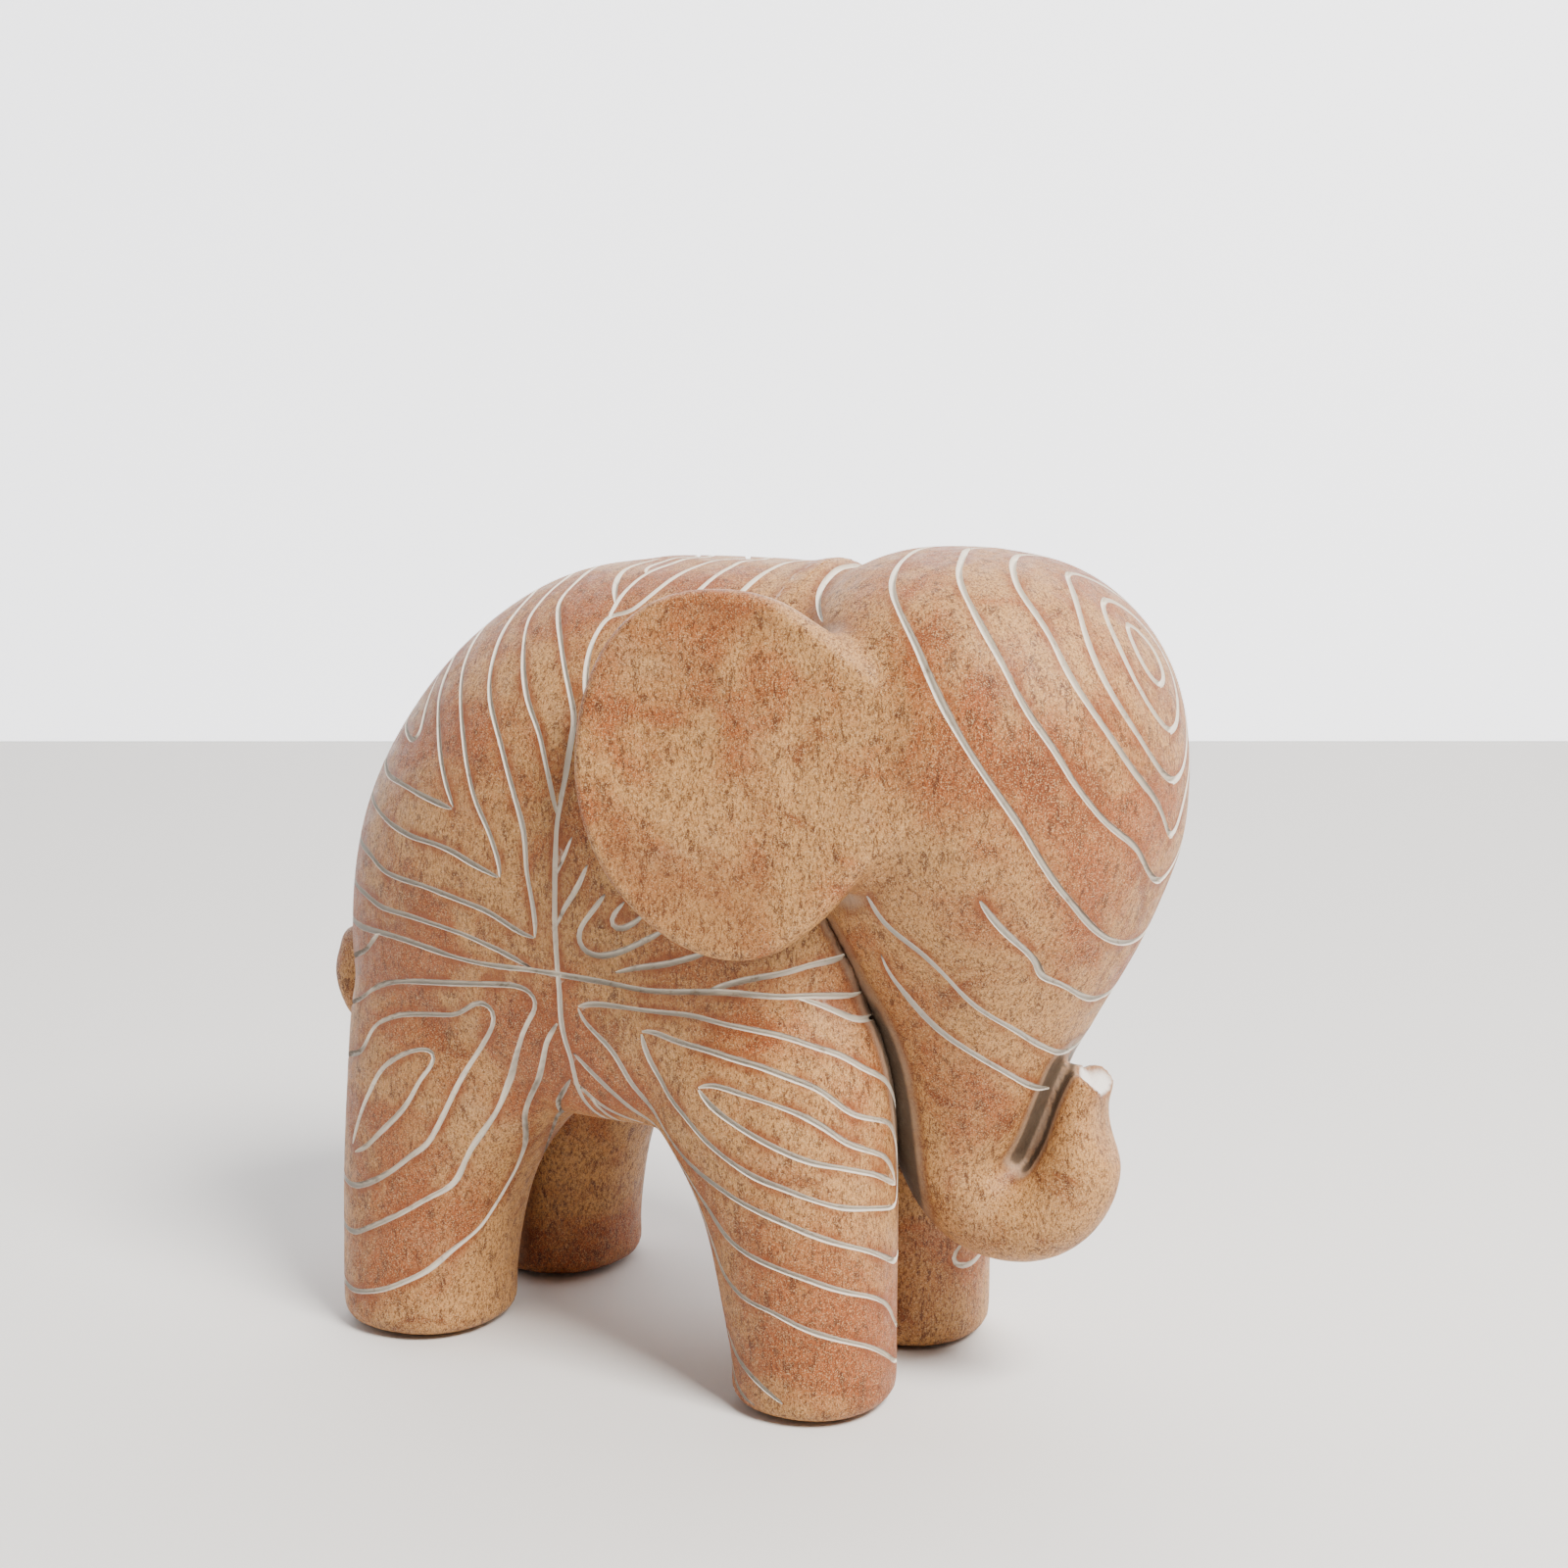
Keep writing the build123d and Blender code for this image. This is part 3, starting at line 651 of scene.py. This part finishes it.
def colour(r, g, b):
    # From display values to the linear ones that the renderer works in.
    return tuple(((v + 0.055) / 1.055) ** 2.4 if v > 0.04 else v / 12.92 for v in (r, g, b)) + (1,)


# The deep tone is painted shadow for the most shut-in hollows.
woodTones = {
    "sand": (0.74, 0.54, 0.32), "russet": (0.61, 0.33, 0.16), "bleached": (0.76, 0.61, 0.46),
    "stain": (0.46, 0.21, 0.08), "fibre": (0.33, 0.17, 0.08), "stroke": (0.30, 0.14, 0.06),
    "grit": (0.88, 0.72, 0.52), "wash": (0.50, 0.25, 0.11), "smear": (0.86, 0.78, 0.70),
    "shade": (0.42, 0.22, 0.11), "residue": (0.68, 0.59, 0.50), "deep": (0.27, 0.23, 0.19),
    "nostril": (0.93, 0.91, 0.88),
}


def carvedWood():
    made, tree, shader = material("carvedWood")
    net = Net(tree)
    tone = {name: colour(*value) for name, value in woodTones.items()}
    # Clouds a few centimetres across, then fine grain.
    patches = net.between(net.noise(26, 5, 0.62, distort=0.8), 0.42, 0.62)
    stains = net.between(net.noise(48, 6, 0.7, distort=1.1), 0.53, 0.68)
    bleached = net.between(net.noise(38, 5, 0.65, turn=(0.7, 0.2, 0.4), distort=0.6), 0.55, 0.72)
    fibre = net.noise(1900, 4, 0.7, (1.0, 1.0, 0.5), (0.5, 0.4, 0))
    strokes = net.noise(620, 4, 0.7, (1.0, 1.0, 0.35), (0.6, 0.5, 0.2), 0.8)
    grit = net.noise(3200, 2, 0.6)
    base = net.mix(patches, tone["sand"], tone["russet"])
    base = net.mix(net.maths("MULTIPLY", bleached, 0.3), base, tone["bleached"])
    base = net.mix(net.maths("MULTIPLY", stains, 0.85), base, tone["stain"])
    base = net.mix(net.between(fibre, 0.42, 0.64, 0.0, 0.85), base, tone["fibre"])
    base = net.mix(net.between(strokes, 0.54, 0.62, 0.0, 0.75), base, tone["stroke"])
    base = net.mix(net.between(grit, 0.50, 0.70, 0.0, 0.6), base, tone["grit"])
    # Brown wash and rubbed paint beside the lines.
    edge = net.attribute("edge")
    wash = net.maths("MULTIPLY", net.between(edge, 2.6, 0.1), net.between(net.noise(120, 3, 0.6), 0.35, 0.65))
    base = net.mix(net.maths("MULTIPLY", wash, 0.8), base, tone["wash"])
    rubbed = net.between(net.noise(420, 3, 0.6), 0.45, 0.65)
    smear = net.maths("MULTIPLY", net.between(edge, 0.22, 0.02), rubbed)
    base = net.mix(net.maths("MULTIPLY", smear, 0.35), base, tone["smear"])
    # Shade, pale residue and painted shadow in the deepest creases.
    hollow = net.attribute("hollow")
    residue = net.maths("MULTIPLY", net.between(hollow, 0.25, 0.75),
                        net.between(net.noise(110, 4), 0.3, 0.6, 0.5, 1.0))
    base = net.mix(net.between(hollow, 0.08, 0.36, 0.0, 0.5), base, tone["shade"])
    base = net.mix(net.maths("MULTIPLY", residue, 0.6), base, tone["residue"])
    # Painted shadow: the most shut-in hollows are darkened towards near black.
    base = net.mix(net.between(hollow, 0.72, 0.95, 0.0, 0.8), base, tone["deep"])
    base = net.mix(net.attribute("white"), base, tone["nostril"])
    tree.links.new(base, shader.inputs["Base Color"])
    tree.links.new(net.between(net.noise(300, 3), 0.3, 0.7, 0.38, 0.58), shader.inputs["Roughness"])
    coarse = net.bump(net.noise(160, 4), 0.0009, 0.5)
    grain = net.bump(net.maths("ADD", fibre, grit), 0.00022, 0.55, coarse)
    tree.links.new(grain, shader.inputs["Normal"])
    shader.inputs["Specular IOR Level"].default_value = 0.3
    return made


# The darkest paint tone is painted shade for groove walls turned away from the light.
paintTones = {"chalk": (0.88, 0.84, 0.78), "dirt": (0.60, 0.49, 0.38), "paintedWallShade": (0.34, 0.29, 0.25)}


def linePaint():
    # Chalky paint, dirtied in places, with painted shade on the wall of the groove that faces down, away from
    # the light.
    made, tree, shader = material("linePaint")
    net = Net(tree)
    dirt = net.between(net.noise(330, 4, 0.65), 0.56, 0.74, 0.0, 0.55)
    base = net.mix(dirt, colour(*paintTones["chalk"]), colour(*paintTones["dirt"]))
    paintedWallShade = net.between(net.attribute("paintedWallShade"), -0.15, 0.55, 0.0, 0.95)
    base = net.mix(paintedWallShade, base, colour(*paintTones["paintedWallShade"]))
    tree.links.new(base, shader.inputs["Base Color"])
    shader.inputs["Roughness"].default_value = 0.75
    tree.links.new(net.bump(net.noise(700, 3), 0.0003, 0.5), shader.inputs["Normal"])
    return made


def plainFinish(name, dark, light, scale, stretch, bumpDepth, roughness):
    made, tree, shader = material(name)
    net = Net(tree)
    grain = net.noise(scale, 4, 0.6, stretch)
    base = net.mix(net.between(grain, 0.35, 0.65), colour(*dark), colour(*light))
    tree.links.new(base, shader.inputs["Base Color"])
    shader.inputs["Roughness"].default_value = roughness
    tree.links.new(net.bump(grain, bumpDepth, 0.5), shader.inputs["Normal"])
    return made


wood = carvedWood()
paint = linePaint()
beech = plainFinish("beech", (0.72, 0.57, 0.40), (0.83, 0.70, 0.52), 240, (0.15, 1, 1), 0.0002, 0.6)
felt = plainFinish("felt", (0.12, 0.11, 0.10), (0.26, 0.23, 0.21), 900, (1, 1, 1), 0.0005, 0.95)
for name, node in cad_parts.items():
    if "dowel" in name or "peg" in name or "pad" in name:
        node.data.materials.clear()
        node.data.materials.append(felt if "pad" in name else beech)
print("finishes ready")


def carve(item, field, table, edges, broad):
    # Most strokes are cut on the right and, mirrored, on the left.
    lines = []
    for name, runs in table.items():
        for sign in (1, -1):
            if gouge["oneSide"].get(name, sign) == sign:
                kept = runs[:1] if sign == -1 and name in gouge["cornerStops"] else runs
                lines.append(lineOn(field, kept, sign, gouge["loops"].get(name, 0)))
    for number, group in enumerate(grouped(lines)):
        verts, quads, caps, base = [], [], [], 0
        for seed, points in enumerate(group):
            v, q, c = cutterAlong(field, points, seed + 50 * number, broad)
            verts.append(v)
            quads.append(q + base)
            caps.append(c + base)
            base += len(v)
        verts, quads, caps = np.concatenate(verts), np.concatenate(quads), np.concatenate(caps)
        edges.append(distanceTo(verts, caps.astype(np.uint32), quads.astype(np.uint32)))
        cut(item, objectFrom("tool", verts, [quads, caps], 1))
    print("carved", item.name, len(lines), "lines in", number + 1, "goes")


def finer(field, step):
    # The field read again on a lattice with another spacing.
    fine = [np.arange(0, (c - 1) / step) * step for c in count]
    grid = np.stack(np.meshgrid(*fine, indexing="ij"), 3).reshape(-1, 3).astype(np.float32) + low
    return sample(field, grid).reshape([len(f) for f in fine])


def formFrom(name, field, step):
    lattice = field if step == 1.0 else finer(field, step)
    points, quads = quadsAt(lattice, 0.0, step)
    return objectFrom(name, points, [quads[:, ::-1]])


def finished(item, nodes, edges=None):
    # Edge is the distance to the nearest groove, hollow how shut in a place is, white the nostril's paint,
    # and the fourth how far a groove's wall turns away from the light, which sets painted shade on that wall.
    dropOffcuts(item)
    mesh = item.data
    co = np.empty(len(mesh.vertices) * 3, np.float32)
    mesh.vertices.foreach_get("co", co)
    co = co.reshape(-1, 3) * 1000
    outward = slope(around, co, 1.5)
    near, paintedWallShade = np.full(len(co), 6.0, np.float32), np.zeros(len(co), np.float32)
    if edges is not None:
        near = np.clip(sample(edges, co), 0, 6).astype(np.float32)
        # Painted shade: a groove wall turned away from the light is greyed in the paint.
        paintedWallShade = slope(edges, co) @ np.array([0.5, -0.2, 0.84])
    hollow = 1 - np.clip(sample(around, co + outward * 6) / 6, 0, 1)
    white = np.clip((curl["whiteRadius"] - np.linalg.norm(co - nostrilAt, axis=1)) / 0.4, 0, 1)
    for name, values in (("edge", near), ("hollow", hollow), ("white", white), ("paintedWallShade", paintedWallShade)):
        layer = mesh.attributes.new(name, "FLOAT", "POINT")
        layer.data.foreach_set("value", values.astype(np.float32))
    mesh.polygons.foreach_set("use_smooth", np.ones(len(mesh.polygons), bool))
    mesh.set_sharp_from_angle(angle=math.radians(48))
    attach(item, "root")
    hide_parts(*nodes)
    print(item.name, len(mesh.loops) - 2 * len(mesh.polygons), "triangles")
    return item


bodyEdges, headEdges = [], []
bodyShape = formFrom("bodyShape", bodyForm, torso["meshStep"])
carve(bodyShape, bodyForm, bodyLines, bodyEdges, torso["lineHalfWidth"])
headShape = formFrom("headShape", headForm, skull["meshStep"])
carve(headShape, headForm, headLines, headEdges, skull["lineHalfWidth"])
edgeField = np.minimum.reduce(bodyEdges + headEdges)
cut(bodyShape, blockTool((neck["x"], -90, 127), (160, 90, 230)))
cut(headShape, blockTool((-160, -90, 119), (neck["x"], 90, 230)))
for side, sign in (("left", 1), ("right", -1)):
    flap = formFrom("ear_" + side + "Shape", headForm, ear["meshStep"])
    cut(flap, earTool(sign), "INTERSECT")
    finished(flap, ["ear_" + side], edgeField)
    cut(headShape, earTool(sign))
finished(bodyShape, ["body"], edgeField)
finished(headShape, ["head"], edgeField)
tailShape = formFrom("tailShape", tailForm, tail["meshStep"])
finished(tailShape, ["tail"])
print("pieces ready")

floorMesh = bpy.data.meshes.new("floor")
floorMesh.from_pydata([(-9, -9, 0), (9, -9, 0), (9, 9, 0), (-9, 9, 0)], [], [(0, 1, 2, 3)])
floor = bpy.data.objects.new("floor", floorMesh)
collection.objects.link(floor)
floorFinish, floorTree, floorShader = material("paleFloor")
floorShader.inputs["Base Color"].default_value = (0.76, 0.74, 0.71, 1)
floorShader.inputs["Roughness"].default_value = 0.9
floorMesh.materials.append(floorFinish)
wallMesh = bpy.data.meshes.new("wall")
wallAt, wallAlong = np.array([-0.49, 0.87]), np.array([7.8, 4.4])
ends = [wallAt - wallAlong, wallAt + wallAlong]
wallMesh.from_pydata([(*ends[0], 0), (*ends[1], 0), (*ends[1], 6), (*ends[0], 6)], [], [(0, 1, 2, 3)])
wall = bpy.data.objects.new("wall", wallMesh)
collection.objects.link(wall)
wallFinish, wallTree, wallShader = material("paleWall")
wallShader.inputs["Base Color"].default_value = (0.9, 0.9, 0.92, 1)
wallShader.inputs["Emission Color"].default_value = (0.93, 0.95, 1, 1)
wallShader.inputs["Emission Strength"].default_value = 1.8
wallMesh.materials.append(wallFinish)


def softLight(name, place, turn, size, power, tint=(1, 1, 1)):
    lamp = bpy.data.lights.new(name, "AREA")
    lamp.shape = "SQUARE"
    lamp.size = size
    lamp.energy = power
    lamp.color = tint
    item = bpy.data.objects.new(name, lamp)
    item.location = place
    item.rotation_euler = Euler([math.radians(v) for v in turn])
    collection.objects.link(item)


softLight("key", (1.05, -0.42, 1.35), (42, 0, 68), 0.6, 74, (1, 0.97, 0.93))
softLight("fill", (-0.3, -1.6, 0.9), (62, 0, -11), 1.6, 2)
world = bpy.data.worlds.new("room")
world.use_nodes = True
world.node_tree.nodes["Background"].inputs[0].default_value = (0.92, 0.95, 1.0, 1)
world.node_tree.nodes["Background"].inputs[1].default_value = 0.07
bpy.context.scene.world = world

camera = bpy.data.objects.new("camera", bpy.data.cameras.new("camera"))
camera.data.lens = 57.64
camera.data.sensor_width = 36
camera.location = (0.3074, -0.5114, 0.2370)
camera.rotation_euler = Euler((math.radians(80.57), 0, math.radians(29.4)))
collection.objects.link(camera)
bpy.context.scene.camera = camera
print("stage ready")
